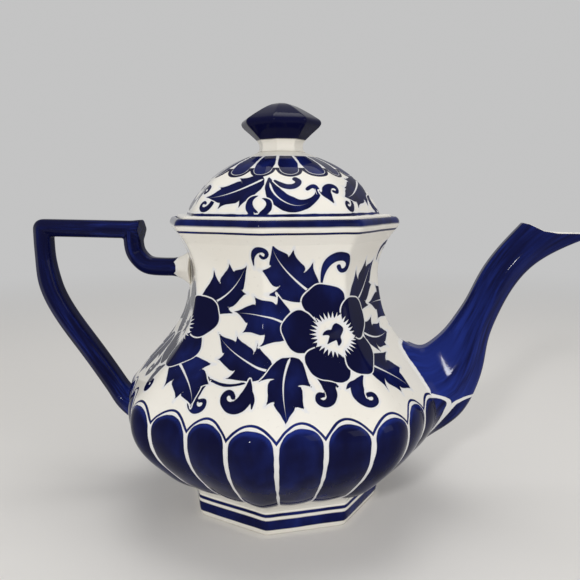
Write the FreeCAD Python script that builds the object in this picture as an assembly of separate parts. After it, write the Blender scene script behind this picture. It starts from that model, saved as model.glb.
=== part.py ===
import FreeCAD, Part
import math
import os

# An octagonal porcelain teapot: a gadrooned pot with a foot ring, a flared mouth rim,
# a spout and a handle stuck on opposite corners, and a lid made of four parts.
# Millimetres. +X is the spout's direction, +Z is up and the foot stands at height 0. The octagon has
# a corner on +X. The pot is drawn about its own axis, then moved along X so that the origin is under
# the middle of the overall length, from the handle's back to the spout's tip.

os.makedirs("parts", exist_ok=True)
Vec = FreeCAD.Vector

# Whole pot
POT_AXIS_X = -7.4
MOUTH_RADIUS = 45.0
FOOT_TOP = 12.0
RIM_BOTTOM = 134.0
LEDGE = 142.5
FLANGE_TOP = 146.0
DOME_TOP = 176.2
KNOB_TOP = 200.0

# Rubbed-down corners of the octagonal rings: half their turn in degrees, and what is left at the corner
CORNER_TURN = 2.0
CORNER_SHARE = 0.994

# Pot profile: height and corner radius, from the foot's top to the rim's underside
FOOT_RADIUS = 50.0
NECK_RADIUS = 53.6
POT_PROFILE = [
    (FOOT_TOP, FOOT_RADIUS * CORNER_SHARE), (14.5, 51.4), (20.0, 58.4), (28.0, 67.2), (38.0, 76.0), (48.0, 80.6),
    (57.0, 80.6), (68.0, 74.0), (78.0, 65.0), (88.0, 56.9), (98.0, 51.6), (108.0, 49.3),
    (118.0, 48.4), (126.0, 49.7), (RIM_BOTTOM, NECK_RADIUS * CORNER_SHARE),
]
# The inside follows the outside, with a plain floor and a straight mouth
POT_INSIDE = [
    (17.5, 46.0), (20.5, 52.5), (28.0, 62.5), (38.0, 71.6), (48.0, 76.4), (57.0, 76.6),
    (68.0, 69.4), (78.0, 60.2), (88.0, 52.4), (98.0, 47.4), (108.0, 45.2), (118.0, 44.4),
    (126.0, 44.6), (RIM_BOTTOM, MOUTH_RADIUS),
]
# The corners are crisp at the foot and the neck, and soft round the belly and the lid
CRISP = 1.0 / 115.0
BELLY_SOFT = 1.0 / 24.0
DOME_SOFT = 1.0 / 28.0
SOFT_FROM, SOFT_FULL = 13.0, 26.0
SOFT_FADES, SOFT_ENDS = 58.0, 92.0

# Gadroons: convex lobes round the belly, one on each corner and two on each side
LOBES = 24
LOBE_RELIEF = 1.3
LOBE_BOTTOM = 15.0
LOBE_VALLEY_TOP = 57.5
LOBE_ARCH = 6.5
LOBE_SHOULDER = 5.0

# Foot ring and mouth rim: closed outlines of corner radius and height
FOOT_OUTLINE = [
    (43.0, FOOT_TOP), (FOOT_RADIUS, FOOT_TOP), (50.3, 9.0), (49.9, 4.0), (49.0, 0.9), (48.2, 0.0),
    (44.0, 0.0), (43.2, 1.0),
]
RIM_OUTLINE = [
    (MOUTH_RADIUS, RIM_BOTTOM), (NECK_RADIUS, RIM_BOTTOM), (56.0, 137.2), (57.6, 139.3), (58.6, 140.5),
    (58.9, 142.0), (58.5, 143.4), (57.5, 144.6), (56.5, 145.0), (55.9, 144.7), (55.6, 143.9),
    (55.6, LEDGE), (MOUTH_RADIUS, LEDGE),
]

# Lid: flange on the ledge, collar in the mouth, dome above, knob on top
FLANGE_OUTLINE = [
    (40.4, LEDGE), (54.6, LEDGE), (54.9, 143.2), (54.9, 145.2), (54.3, FLANGE_TOP), (40.4, FLANGE_TOP),
]
COLLAR_OUTLINE = [
    (40.4, LEDGE), (40.4, 133.6), (41.2, 132.8), (43.0, 132.8), (43.6, 133.6), (43.8, LEDGE),
]
DOME_PROFILE = [
    (FLANGE_TOP, 48.9), (150.0, 47.2), (153.5, 45.1), (157.0, 42.3), (160.4, 39.4), (163.8, 35.8),
    (167.4, 31.0), (170.6, 25.5), (173.0, 20.1), (175.0, 15.0), (DOME_TOP, 11.8),
]
DOME_INSIDE = [
    (FLANGE_TOP, 45.0), (150.0, 43.2), (153.0, 40.6), (156.4, 37.4), (160.0, 33.8), (163.4, 29.6),
    (166.6, 24.6), (169.2, 19.2), (171.2, 13.6), (172.2, 9.0),
]
KNOB_OUTLINE = [
    (0.0, DOME_TOP), (12.0, DOME_TOP), (11.2, 177.0), (10.9, 178.6), (11.2, 180.6), (12.2, 182.0),
    (18.9, 187.9), (20.0, 189.2), (20.1, 190.4), (19.4, 191.6), (15.6, 194.0), (8.6, 197.9),
    (3.6, 199.6), (0.0, KNOB_TOP),
]
VENT_DIAMETER = 4.0
VENT_RADIUS = 22.0

# Spout: its upper and lower edges in the plane of symmetry, and its half width
SPOUT_STATIONS = [
    ((46.0, 80.0), (56.0, 40.0), 15.0),
    ((60.5, 83.0), (81.5, 34.8), 18.0),
    ((69.5, 80.0), (92.2, 48.4), 15.4),
    ((75.5, 82.8), (97.8, 61.0), 13.2),
    ((81.6, 88.8), (100.9, 73.0), 11.6),
    ((86.8, 96.3), (102.6, 85.0), 10.4),
    ((91.6, 104.5), (106.2, 96.4), 9.6),
    ((98.2, 118.6), (112.8, 110.4), 9.0),
    ((106.6, 131.1), (120.3, 120.3), 8.6),
    ((114.0, 139.8), (127.8, 126.2), 8.2),
    ((120.0, 146.4), (136.6, 131.0), 7.8),
    ((127.6, 153.6), (148.8, 136.2), 7.2),
]
SPOUT_WALL_BASE = 3.6
SPOUT_WALL_TIP = 2.4
SPOUT_RIDGE = 0.60
SPOUT_TOP_FLAT = 0.42
SPOUT_BOTTOM_FLAT = 0.34
# The mouth of the spout: a short step at the back, then a long level lip
MOUTH_LINE = [
    (108.0, 146.0), (115.6, 141.9), (118.6, 141.2), (124.6, 138.1), (131.0, 137.0), (160.0, 136.4),
]
STRAINER_HOLE = 5.0
STRAINER_PITCH = 8.5
STRAINER_HEIGHT = 62.0

# Handle: a six-sided strap, its centre line in the plane of symmetry
HANDLE_WIDTH = 14.4
HANDLE_THICK = 9.3
HANDLE_FLAT = 6.4
GRIP_TOP = 138.0
GRIP_TIP = -74.0
GRIP_BACK = -129.4
GRIP_CORNER = 5.0
STRUT_TURN = (-128.5, 119.0)
STRUT_MIDDLE = (-126.1, 107.4)
STRUT_LOW = (-120.8, 96.0)
STRUT_KNEE = (-90.8, 53.4)
STRUT_BEND = (-85.9, 47.4)
STRUT_FOOT = (-79.2, 43.2)
STRUT_END = (-60.0, 33.6)
NECK_JOINT = (-40.0, 118.8)
ELBOW_START = (-66.4, 118.9)
ELBOW_MIDDLE = (-74.8, 122.3)
ELBOW_END = (-78.6, 130.4)
# The elbow flares where it is stuck to the neck: place along X and growth all round
BOSS_FLARE = [(-57.5, 0.0), (-54.5, 0.4), (-51.5, 1.4), (-48.5, 3.0), (-44.0, 6.0)]


def step(value, start, end):
    """Smooth rise from 0 at start to 1 at end."""
    t = min(max((value - start) / (end - start), 0.0), 1.0)
    return t * t * (3.0 - 2.0 * t)


def octagon(angle):
    """Radius of an octagon with corners at 0, 45, 90... degrees, over its corner radius."""
    return math.cos(math.radians(22.5)) / math.cos(math.radians(angle % 45.0 - 22.5))


def soft_octagon(angle, softness):
    """The same with rounded corners: the softer, the nearer to a circle."""
    power = 1.0 / softness
    total = 0.0
    for side in (-22.5, 22.5, 67.5):
        total += math.cos(math.radians(angle % 45.0 - side)) ** power
    return math.cos(math.radians(22.5)) * 2.0 ** softness / total ** softness


def pot_softness(z):
    swell = step(z, SOFT_FROM, SOFT_FULL) * (1.0 - step(z, SOFT_FADES, SOFT_ENDS))
    return CRISP + (BELLY_SOFT - CRISP) * swell


def dome_softness(z):
    return DOME_SOFT


def lobe(angle, z):
    """Relief of the gadroons: rounded below, arched above, with a soft shoulder."""
    pitch = 360.0 / LOBES
    u = ((angle + pitch / 2.0) % pitch) / (pitch / 2.0) - 1.0
    crown = max(1.0 - u * u, 0.0)
    top = LOBE_VALLEY_TOP + LOBE_ARCH * math.sqrt(crown)
    bottom = LOBE_BOTTOM + 2.5 * (1.0 - math.sqrt(crown))
    fade = step(z, bottom - 1.0, bottom + LOBE_SHOULDER) * (1.0 - step(z, top - LOBE_SHOULDER, top))
    return LOBE_RELIEF * fade * crown


def smooth_octagon(profile, rows, columns, softness, relief=None):
    """Solid with eight curved sides, from a profile of heights and corner radii."""
    curve = Part.BSplineCurve()
    curve.interpolate([Vec(radius, 0, z) for z, radius in profile])
    grid = []
    for i in range(rows):
        part = i / (rows - 1.0)
        p = curve.value(curve.FirstParameter + part * (curve.LastParameter - curve.FirstParameter))
        line = []
        for j in range(columns):
            angle = 45.0 * j / (columns - 1.0)
            radius = p.x * soft_octagon(angle, softness(p.z))
            if relief:
                radius += relief(angle, p.z)
            a = math.radians(angle)
            line.append(Vec(radius * math.cos(a), radius * math.sin(a), p.z))
        grid.append(line)
    surface = Part.BSplineSurface()
    surface.interpolate(grid)
    side = surface.toShape()
    sides = []
    for n in range(8):
        turned = side.copy()
        turned.rotate(Vec(0, 0, 0), Vec(0, 0, 1), 45.0 * n)
        sides.append(turned)
    ends = [Part.Face(level_wire(sides, profile[end][0])) for end in (0, -1)]
    return close_up(sides + ends)


def level_wire(sides, z):
    """The closed edge that eight sides leave at a level."""
    edges = []
    for side in sides:
        for edge in side.Edges:
            box = edge.BoundBox
            if abs(box.ZMin - z) < 1e-4 and abs(box.ZMax - z) < 1e-4:
                edges.append(edge)
    return Part.Wire(Part.__sortEdges__(edges))


def close_up(faces):
    shell = Part.makeShell(faces)
    shell.sewShape()
    solid = Part.makeSolid(shell)
    if solid.Volume < 0:
        solid.reverse()
    return solid


def ring(outline):
    """Octagonal turning of a closed outline of corner radii and heights, corners rubbed down."""
    rows = []
    for radius, z in outline:
        row = []
        for n in range(8 if radius > 0.0 else 0):
            for turn in (-CORNER_TURN, 0.0, CORNER_TURN):
                share = octagon(turn) if turn else CORNER_SHARE
                a = math.radians(45.0 * n + turn)
                row.append(Vec(radius * share * math.cos(a), radius * share * math.sin(a), z))
        rows.append(row or [Vec(0, 0, z)])
    faces = []
    count = len(rows)
    for i in range(count):
        low, high = rows[i], rows[(i + 1) % count]
        size = max(len(low), len(high))
        for j in range(size if size > 1 else 0):
            k = (j + 1) % size
            if len(low) == 1:
                points = [low[0], high[k], high[j]]
            elif len(high) == 1:
                points = [low[j], low[k], high[0]]
            else:
                points = [low[j], low[k], high[k], high[j]]
            faces.append(Part.Face(Part.makePolygon(points + [points[0]])))
    return close_up(faces)


def spout_section(upper, lower, half, wall):
    """Six corners of the section across the spout between its upper and lower edges."""
    dx, dz = lower[0] - upper[0], lower[1] - upper[1]
    length = math.hypot(dx, dz)
    ux, uz = dx / length, dz / length
    top = (upper[0] + ux * wall, upper[1] + uz * wall)
    depth = length - 2.0 * wall
    wide = half - wall

    def at(share, y):
        return Vec(top[0] + ux * depth * share, y, top[1] + uz * depth * share)

    return [
        at(0.0, -wide * SPOUT_TOP_FLAT), at(0.0, wide * SPOUT_TOP_FLAT), at(SPOUT_RIDGE, wide),
        at(1.0, wide * SPOUT_BOTTOM_FLAT), at(1.0, -wide * SPOUT_BOTTOM_FLAT), at(SPOUT_RIDGE, -wide),
    ]


def six_sided(sections):
    """Solid through six-cornered sections, with a smooth edge through each run of corners."""
    edges = []
    for n in range(6):
        curve = Part.BSplineCurve()
        curve.interpolate([section[n] for section in sections])
        edges.append(curve.toShape())
    faces = [Part.makeRuledSurface(edges[n], edges[(n + 1) % 6]) for n in range(6)]
    for section in (sections[0], sections[-1]):
        faces.append(Part.Face(Part.makePolygon(section + [section[0]])))
    return close_up(faces)


def strap_section(centre, along, growth=0.0):
    """Six corners of the handle's section."""
    half, thick, flat = HANDLE_WIDTH / 2.0 + growth, HANDLE_THICK / 2.0 + growth, HANDLE_FLAT / 2.0 + growth
    side = Vec(0, 1, 0)
    out = side.cross(along)
    corners = [(-thick, -flat), (-thick, flat), (0, half), (thick, flat), (thick, -flat), (0, -half)]
    return [centre + out * r + side * y for r, y in corners]


def strap(path, start, along):
    """Six-sided strap swept along a flat path."""
    section = strap_section(start, along)
    sweep = Part.BRepOffsetAPI.MakePipeShell(path)
    sweep.setBiNormalMode(Vec(0, 1, 0))
    sweep.setTransitionMode(1)
    sweep.add(Part.makePolygon(section + [section[0]]))
    sweep.build()
    sweep.makeSolid()
    return sweep.shape()


def flat(point):
    return Vec(point[0], 0, point[1])


# Pot body: a cast shell with gadroons on the belly, open at the neck
pot_filled = smooth_octagon(POT_PROFILE, 46, 25, pot_softness, lobe)
pot_body = pot_filled.cut(smooth_octagon(POT_INSIDE, 30, 17, pot_softness))

# Strainer holes through the wall behind the spout
holes = [(0.0, STRAINER_HEIGHT)]
for n in range(6):
    a = math.radians(60.0 * n)
    holes.append((STRAINER_PITCH * math.cos(a), STRAINER_HEIGHT + STRAINER_PITCH * math.sin(a)))
for y, z in holes:
    drill = Part.makeCylinder(STRAINER_HOLE / 2.0, 60.0, Vec(50.0, y, z), Vec(1, 0, 0))
    pot_body = pot_body.cut(drill)

# Foot ring below and mouth rim above, both octagonal
foot_ring = ring(FOOT_OUTLINE)
mouth_rim = ring(RIM_OUTLINE)

# Spout: hollow, flared onto the belly, cut to a long pouring lip
outer_sections = [spout_section(u, l, w, 0.0) for u, l, w in SPOUT_STATIONS]
last = len(SPOUT_STATIONS) - 1
inner_sections = []
for i, (u, l, w) in enumerate(SPOUT_STATIONS):
    wall = SPOUT_WALL_BASE + (SPOUT_WALL_TIP - SPOUT_WALL_BASE) * i / last
    inner_sections.append(spout_section(u, l, w, wall))
above = [flat(p) for p in MOUTH_LINE] + [Vec(MOUTH_LINE[-1][0], 0, 170.0), Vec(MOUTH_LINE[0][0], 0, 170.0)]
mouth_cut = Part.Face(Part.makePolygon(above + [above[0]]))
mouth_cut.translate(Vec(0, -40, 0))
mouth_cut = mouth_cut.extrude(Vec(0, 80, 0))
spout = six_sided(outer_sections)
spout = spout.cut(pot_filled)
spout = spout.cut(six_sided(inner_sections))
spout = spout.cut(mouth_cut)

# Handle: grip along the top, strut down to the belly, elbow back to the neck
grip_path = Part.Wire([
    Part.makeLine(Vec(GRIP_TIP, 0, GRIP_TOP), Vec(GRIP_BACK, 0, GRIP_TOP)),
    Part.makeLine(Vec(GRIP_BACK, 0, GRIP_TOP), flat(STRUT_TURN)),
    Part.Arc(flat(STRUT_TURN), flat(STRUT_MIDDLE), flat(STRUT_LOW)).toShape(),
    Part.makeLine(flat(STRUT_LOW), flat(STRUT_KNEE)),
    Part.Arc(flat(STRUT_KNEE), flat(STRUT_BEND), flat(STRUT_FOOT)).toShape(),
    Part.makeLine(flat(STRUT_FOOT), flat(STRUT_END)),
])
elbow_path = Part.Wire([
    Part.makeLine(flat(NECK_JOINT), flat(ELBOW_START)),
    Part.Arc(flat(ELBOW_START), flat(ELBOW_MIDDLE), flat(ELBOW_END)).toShape(),
    Part.makeLine(flat(ELBOW_END), Vec(ELBOW_END[0], 0, GRIP_TOP)),
])
backwards = Vec(-1, 0, 0)
grip = strap(grip_path, Vec(GRIP_TIP, 0, GRIP_TOP), backwards)
edge_x, edge_z = GRIP_BACK - HANDLE_THICK / 2.0, GRIP_TOP + HANDLE_THICK / 2.0
waste = Part.makeBox(2.0 * GRIP_CORNER, HANDLE_WIDTH, 2.0 * GRIP_CORNER,
                     Vec(edge_x - GRIP_CORNER, -HANDLE_WIDTH / 2.0, edge_z - GRIP_CORNER))
turn = Part.makeCylinder(GRIP_CORNER, HANDLE_WIDTH,
                         Vec(edge_x + GRIP_CORNER, -HANDLE_WIDTH / 2.0, edge_z - GRIP_CORNER), Vec(0, 1, 0))
grip = grip.cut(waste.cut(turn))
elbow = strap(elbow_path, flat(NECK_JOINT), backwards)
boss = six_sided([strap_section(Vec(x, 0, NECK_JOINT[1]), backwards, growth) for x, growth in BOSS_FLARE])
handle = grip.fuse(elbow).fuse(boss).removeSplitter().cut(pot_filled)

# Lid
lid_flange = ring(FLANGE_OUTLINE)
lid_collar = ring(COLLAR_OUTLINE)
lid_dome = smooth_octagon(DOME_PROFILE, 22, 17, dome_softness)
lid_dome = lid_dome.cut(smooth_octagon(DOME_INSIDE, 20, 17, dome_softness))
vent = Part.makeCylinder(VENT_DIAMETER / 2.0, 40.0, Vec(-VENT_RADIUS, 0, 150.0), Vec(0, 0, 1))
lid_dome = lid_dome.cut(vent)
lid_knob = ring(KNOB_OUTLINE)

NODES = {
    "pot_body": pot_body,
    "foot_ring": foot_ring,
    "mouth_rim": mouth_rim,
    "spout": spout,
    "handle": handle,
    "lid_flange": lid_flange,
    "lid_collar": lid_collar,
    "lid_dome": lid_dome,
    "lid_knob": lid_knob,
}
for name, shape in NODES.items():
    shape = shape.Solids[0]
    shape.translate(Vec(POT_AXIS_X, 0, 0))
    box = shape.BoundBox
    print(name, shape.ShapeType, len(shape.Solids), shape.isValid(), round(shape.Volume),
          [round(v, 1) for v in (box.XMin, box.XMax, box.YMin, box.YMax, box.ZMin, box.ZMax)])
    shape.exportStep("parts/" + name + ".step")
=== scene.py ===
import math

import bpy
import numpy as np
from mathutils import Matrix, Vector


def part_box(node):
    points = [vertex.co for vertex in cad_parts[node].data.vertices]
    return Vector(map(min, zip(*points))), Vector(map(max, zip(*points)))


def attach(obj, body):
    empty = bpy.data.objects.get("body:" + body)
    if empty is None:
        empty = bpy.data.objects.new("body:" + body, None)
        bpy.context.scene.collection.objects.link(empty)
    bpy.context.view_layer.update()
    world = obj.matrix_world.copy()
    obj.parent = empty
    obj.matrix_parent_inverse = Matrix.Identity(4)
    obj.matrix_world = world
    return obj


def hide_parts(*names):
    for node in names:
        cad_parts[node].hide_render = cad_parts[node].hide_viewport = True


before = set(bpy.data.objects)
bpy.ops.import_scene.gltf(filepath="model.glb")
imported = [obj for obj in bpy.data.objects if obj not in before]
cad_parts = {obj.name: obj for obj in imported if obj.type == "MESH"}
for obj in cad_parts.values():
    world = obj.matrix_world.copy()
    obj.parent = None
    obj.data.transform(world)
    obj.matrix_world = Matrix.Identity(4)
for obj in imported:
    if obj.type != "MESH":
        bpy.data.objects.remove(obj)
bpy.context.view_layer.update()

# Pot body
# A hollow porcelain pot, octagonal with soft corners, cast in a mould that presses upright gadroons
# round its belly. It is painted with a cobalt brush and dipped in clear glaze. The foot, the rim,
# the spout and the handle are stuck on with slip before firing. Sizes are in millimetres.
MM = 0.001
foot_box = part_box("foot_ring")
AXIS_X = (foot_box[0][0] + foot_box[1][0]) / 2.0 / MM
FOOT_TOP = foot_box[1][2] / MM
RIM_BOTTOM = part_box("mouth_rim")[0][2] / MM
# Corner radius and height, up the outside and down the inside
POT_PROFILE = [
    (49.7, FOOT_TOP), (51.4, 14.5), (58.4, 20), (67.2, 28), (76, 38), (80.6, 48), (80.6, 57), (74, 68),
    (65, 78), (56.9, 88), (51.6, 98), (49.3, 108), (48.4, 118), (49.7, 126), (53.28, RIM_BOTTOM),
]
POT_INSIDE = [
    (45, RIM_BOTTOM), (44.6, 126), (44.4, 118), (45.2, 108), (47.4, 98), (52.4, 88), (60.2, 78),
    (69.4, 68), (76.6, 57), (76.4, 48), (71.6, 38), (62.5, 28), (52.5, 20.5), (46, 17.5),
]
LOBES = 24
COLUMNS = 22 * LOBES
# The belly's rows lie closer together than those of the neck
BELLY_SHARE, BELLY_ROWS, NECK_ROWS, INSIDE_ROWS = 0.38, 46, 112, 20
CRISP, BELLY_SOFT = 1.0 / 115.0, 1.0 / 24.0
BELLY_BEGINS, BELLY_ENDS = (13.0, 26.0), (58.0, 92.0)
BASE_MIDDLE, POT_FLOOR = 25.0, [(24.0, 17.2), (0.0, 17.0)]
SHARP_FROM = 55.0


def rise(value, start, end):
    """Smooth step from 0 at start to 1 at end."""
    t = np.clip((value - start) / (end - start), 0.0, 1.0)
    return t * t * (3.0 - 2.0 * t)


def steps(count):
    """Even shares from 0 to 1, both ends among them."""
    return np.linspace(0.0, 1.0, count)


def run_along(points):
    """Distance along a row of points, or along each column of many rows, from the first."""
    lengths = np.linalg.norm(np.diff(points, axis=0), axis=-1)
    return np.concatenate([np.zeros_like(lengths[:1]), np.cumsum(lengths, axis=0)])


def through(points, shares):
    """Points at shares of the way along a smooth curve through the given ones."""
    p = np.array(points, float)
    chord = run_along(p)
    h = np.diff(chord)
    count = len(p)
    system = np.eye(count)
    pull = np.zeros_like(p)
    for i in range(1, count - 1):
        system[i, i - 1:i + 2] = h[i - 1], 2.0 * (h[i - 1] + h[i]), h[i]
        pull[i] = 6.0 * ((p[i + 1] - p[i]) / h[i] - (p[i] - p[i - 1]) / h[i - 1])
    bend = np.linalg.solve(system, pull)
    t = np.asarray(shares) * chord[-1]
    k = np.clip(np.searchsorted(chord, t, side="right") - 1, 0, count - 2)
    span = h[k][:, None]
    a = (chord[k + 1] - t)[:, None] / span
    b = 1.0 - a
    bent = ((a ** 3 - a) * bend[k] + (b ** 3 - b) * bend[k + 1]) * span ** 2 / 6.0
    return a * p[k] + b * p[k + 1] + bent


def octagon(angle, softness):
    """Radius round an octagon with soft corners at 0, 45, 90... degrees, over its corner radius."""
    a = np.mod(angle, 45.0)
    total = sum(np.cos(np.radians(a - side)) ** (1.0 / softness) for side in (-22.5, 22.5, 67.5))
    return math.cos(math.radians(22.5)) * 2.0 ** softness / total ** softness


def pot_softness(z):
    """Softness of the pot's corners: crisp at foot and neck, rounder on the belly."""
    belly = rise(z, *BELLY_BEGINS) * (1.0 - rise(z, *BELLY_ENDS))
    return CRISP + (BELLY_SOFT - CRISP) * belly


def level_ring(radius, angle, z):
    """Points at angles round the axis, all at one height."""
    way = np.radians(angle)
    return np.stack([radius * np.cos(way), radius * np.sin(way), np.full(len(way), float(z))], -1)


def turned(rows, columns, softness):
    """Octagonal rings of points from rows of corner radius and height; no radius gives one point."""
    angle = np.arange(columns) * 360.0 / columns
    rings = []
    for (corner, z), soft in zip(rows, np.broadcast_to(softness, len(rows))):
        used = angle if corner else angle[:1]
        rings.append(level_ring(corner * octagon(used, soft), used, z))
    return rings


def smooth_shade(mesh):
    mesh.shade_smooth()
    mesh.set_sharp_from_angle(angle=math.radians(SHARP_FROM))


def place_in_scene(name, data):
    made = bpy.data.objects.new(name, data)
    bpy.context.scene.collection.objects.link(made)
    return made


def skin(name, rings):
    """Object whose mesh joins rings of points in order, and closes where the last is the first again."""
    ends_meet = rings[-1] is rings[0]
    kept = rings[:-1] if ends_meet else rings
    starts = np.cumsum([0] + [len(ring) for ring in kept])
    if ends_meet:
        starts[len(kept)] = 0
    faces = []
    for i in range(len(rings) - 1):
        size = max(len(rings[i]), len(rings[i + 1]))
        here = np.arange(size)
        there = (here + 1) % size
        low, high = starts[i], starts[i + 1]
        if len(rings[i]) == 1:
            quads = [np.full(size, low), high + there, high + here]
        elif len(rings[i + 1]) == 1:
            quads = [low + here, low + there, np.full(size, high)]
        else:
            quads = [low + here, low + there, high + there, high + here]
        faces += np.stack(quads, -1).tolist()
    mesh = bpy.data.meshes.new(name)
    mesh.from_pydata((np.concatenate(kept) * MM).tolist(), [], faces)
    smooth_shade(mesh)
    return place_in_scene(name, mesh)


def settle(piece):
    """Makes what the modifiers of a piece give into its own plain mesh."""
    ready = piece.evaluated_get(bpy.context.evaluated_depsgraph_get())
    mesh = bpy.data.meshes.new_from_object(ready)
    piece.modifiers.clear()
    piece.data = mesh


def seat(piece):
    """Moves a finished mesh from the axis it was drawn about to the pot's axis in the frame."""
    piece.data.transform(Matrix.Translation((AXIS_X * MM, 0.0, 0.0)))


def give(piece, name, values):
    """Stores one number, or a row of three, for each point of a piece."""
    kind, field = ("FLOAT", "value") if values.ndim == 1 else ("FLOAT_VECTOR", "vector")
    layer = piece.data.attributes.new(name, kind, "POINT")
    layer.data.foreach_set(field, np.ascontiguousarray(values, np.float32).ravel())


def points_of(piece):
    """Points of a piece's mesh, in millimetres."""
    flat = np.empty(3 * len(piece.data.vertices))
    piece.data.vertices.foreach_get("co", flat)
    return flat.reshape(-1, 3) / MM


def round_axis(points):
    """Angle of points round the pot's axis, in degrees, and their distance from it."""
    x, y = points[..., 0], points[..., 1]
    return np.degrees(np.arctan2(y, x)) % 360.0, np.hypot(x, y)


class Wire:
    """Output of a node. Arithmetic with it adds math nodes to its tree."""

    def __init__(self, tree, socket):
        self.tree, self.socket = tree, socket

    def __add__(self, other):
        return calc("ADD", self, other)

    def __sub__(self, other):
        return calc("SUBTRACT", self, other)

    def __rsub__(self, other):
        return calc("SUBTRACT", other, self)

    def __mul__(self, other):
        return calc("MULTIPLY", self, other)


def plug(socket, value):
    """Feeds a wire or a plain value to an input; None leaves it alone."""
    if isinstance(value, Wire):
        value.tree.links.new(value.socket, socket)
    elif value is not None:
        socket.default_value = value


def node(tree, kind, *values, output=0, **settings):
    """Adds a node with values for its inputs in order, and returns one of its outputs."""
    made = tree.nodes.new(kind)
    for name, setting in settings.items():
        setattr(made, name, setting)
    for place, value in enumerate(values):
        plug(made.inputs[place], value)
    return Wire(tree, made.outputs[output])


def calc(operation, *values):
    tree = next(value.tree for value in values if isinstance(value, Wire))
    return node(tree, "ShaderNodeMath", *values, operation=operation)


def axes(vector):
    """The three parts of a vector."""
    parts = node(vector.tree, "ShaderNodeSeparateXYZ", vector).socket.node
    return [Wire(vector.tree, socket) for socket in parts.outputs]


def ramp(value, start, end):
    """Smooth step of a wire, from 0 at start to 1 at end."""
    return node(value.tree, "ShaderNodeMapRange", value, start, end, 0.0, 1.0,
                interpolation_type="SMOOTHSTEP")


def node_tree(name, sizes):
    """Geometry tree with named sizes and a material; returns it with the wires from its inputs."""
    tree = bpy.data.node_groups.new(name, "GeometryNodeTree")
    kinds = [("Geometry", "Geometry"), *((size, "Float") for size in sizes), ("Material", "Material")]
    for label, kind in kinds:
        tree.interface.new_socket(label, in_out="INPUT", socket_type="NodeSocket" + kind)
    tree.interface.new_socket("Geometry", in_out="OUTPUT", socket_type="NodeSocketGeometry")
    source = tree.nodes.new("NodeGroupInput")
    return tree, {label: Wire(tree, source.outputs[label]) for label, _ in kinds}


def finish_tree(tree, given, geometry):
    """Ends a geometry tree in plain geometry with its material."""
    plain = node(tree, "GeometryNodeRealizeInstances", geometry)
    dressed = node(tree, "GeometryNodeSetMaterial", plain, None, given["Material"])
    plug(tree.nodes.new("NodeGroupOutput").inputs[0], dressed)


def apply_tree(piece, tree, given):
    """Runs a geometry tree on a piece, with its sizes and material set by socket identifier."""
    modifier = piece.modifiers.new(tree.name, "NODES")
    modifier.node_group = tree
    for item in tree.interface.items_tree:
        if item.in_out == "INPUT" and item.name in given:
            modifier[item.identifier] = given[item.name]
    settle(piece)


def gadroon_tree():
    """Swells the outer wall into convex lobes, rounded at the bottom and arched at the top."""
    tree, given = node_tree("gadroons", [
        "Lobes", "Relief", "Bottom", "Valley Top", "Arch", "Shoulder", "Toe"])
    x, y, z = axes(node(tree, "GeometryNodeInputPosition"))
    turns = calc("DIVIDE", calc("ARCTAN2", y, x), 2.0 * math.pi)
    across = calc("FRACT", turns * given["Lobes"] + 0.5) * 2.0 - 1.0
    crown = 1.0 - across * across
    arch = calc("SQRT", calc("MAXIMUM", crown, 0.0))
    bottom = (1.0 - arch) * given["Toe"] + given["Bottom"]
    top = arch * given["Arch"] + given["Valley Top"]
    swell = ramp(z, bottom, bottom + given["Shoulder"])
    fade = ramp(z, top - given["Shoulder"], top)
    height = swell * (1.0 - fade) * crown * given["Relief"]
    level = node(tree, "ShaderNodeCombineXYZ", x, y)
    outwards = node(tree, "ShaderNodeVectorMath", level, operation="NORMALIZE")
    move = node(tree, "ShaderNodeVectorMath", outwards, None, None, height, operation="SCALE")
    outer = node(tree, "GeometryNodeInputNamedAttribute", "outer", data_type="FLOAT")
    moved = node(tree, "GeometryNodeSetPosition", given["Geometry"], outer, None, move)
    finish_tree(tree, given, moved)
    return tree


IVORY, PALE_IVORY = (0.80, 0.765, 0.69, 1.0), (0.83, 0.80, 0.735, 1.0)
SPECK, SPECK_SHARE = (0.45, 0.40, 0.34, 1.0), 0.10
BLEED, BLEED_SHARE = (0.50, 0.58, 0.80, 1.0), 0.28
NAVY, COBALT = (0.004, 0.0045, 0.030, 1.0), (0.014, 0.028, 0.20, 1.0)
GLAZE_ROUGHNESS, GLAZE_SPECULAR, GLAZE_IOR = (0.035, 0.09), 0.055, 1.5
RIPPLE_STRENGTH, RIPPLE_HEIGHT = 0.12, 0.0006
BRUSH_EDGE = 0.12
# Scales of noise, in waves per metre
SHEEN_SCALE, RIPPLE_SCALE, CLOUD_SCALE, SPECK_SCALE = 55.0, 70.0, 24.0, 620.0
STREAK_SCALE, STREAK_STRETCH, POOL_SCALE, SHAKE_SCALE = 130.0, (1.0, 1.0, 0.45), 42.0, 160.0


def read(tree, name, output="Fac"):
    """What is stored on the piece under a name."""
    return node(tree, "ShaderNodeAttribute", output=output, attribute_name=name)


def mix(share, first, second):
    """Blend of two colours by a share; the colours are a Mix node's seventh and eighth inputs."""
    return node(share.tree, "ShaderNodeMix", share, *[None] * 5, first, second,
                output=2, data_type="RGBA")


def noise(tree, scale, detail=2.0, stretch=(1.0, 1.0, 1.0), source=None):
    """Soft noise about 0.5, in the piece's own space unless a source of coordinates is given."""
    place = source or node(tree, "ShaderNodeTexCoord", output="Object")
    stretched = node(tree, "ShaderNodeMapping", place, None, None, stretch)
    return node(tree, "ShaderNodeTexNoise", stretched, None, scale, detail, output="Fac")


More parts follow.
